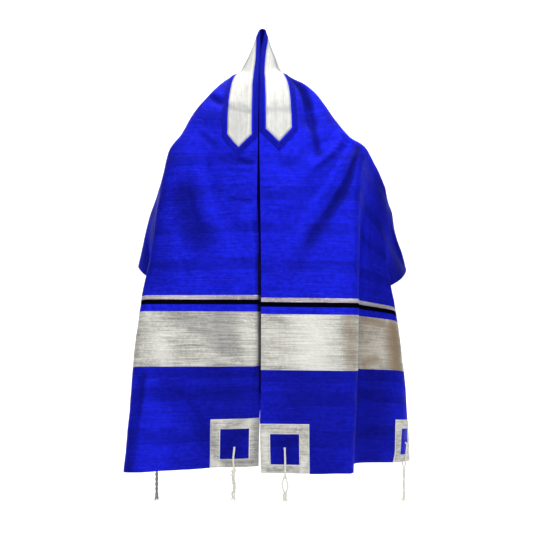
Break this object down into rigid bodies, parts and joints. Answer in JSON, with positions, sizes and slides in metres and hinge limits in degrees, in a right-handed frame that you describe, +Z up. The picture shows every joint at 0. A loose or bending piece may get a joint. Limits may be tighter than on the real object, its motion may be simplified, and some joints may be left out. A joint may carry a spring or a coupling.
{
  "type": "tallit prayer shawl",
  "caption": "Narrow silk prayer shawl with a pointed neckband, striped ends, corner frames and knotted corner tassels, held at the middle of its neckband and hanging open.",
  "frame": {"origin": "the point where the shawl is held, at the middle of its neckband edge", "axes": "+Z up, the open front faces -Y, +X to the viewer's right"},
  "size_m": [0.64, 0.2406, 1.0553],
  "materials": {
    "blue_silk": "slubbed dupion silk, satin sheen",
    "silver_silk": "slubbed dupion silk, silver-grey sheen",
    "ivory_silk": "slubbed dupion silk, ivory sheen",
    "black_ribbon": "ribbed ribbon",
    "white_wool": "twisted wool cord, matte"
  },
  "bodies": {
    "root": {"main_cloth": "blue_silk", "white_stripe_right": "ivory_silk", "white_stripe_left": "ivory_silk", "black_stripe_right": "black_ribbon", "black_stripe_left": "black_ribbon", "blue_strip_right": "blue_silk", "blue_strip_left": "blue_silk", "silver_band_right": "silver_silk", "silver_band_left": "silver_silk", "end_panel_right": "blue_silk", "end_panel_left": "blue_silk", "neckband_border": "blue_silk", "neckband": "ivory_silk", "corner_frame_front_right": "silver_silk", "corner_frame_front_left": "silver_silk", "corner_frame_back_right": "silver_silk", "corner_frame_back_left": "silver_silk", "tassel_front_right": "white_wool", "tassel_front_left": "white_wool", "tassel_back_right": "white_wool", "tassel_back_left": "white_wool"}
  },
  "joints": []
}
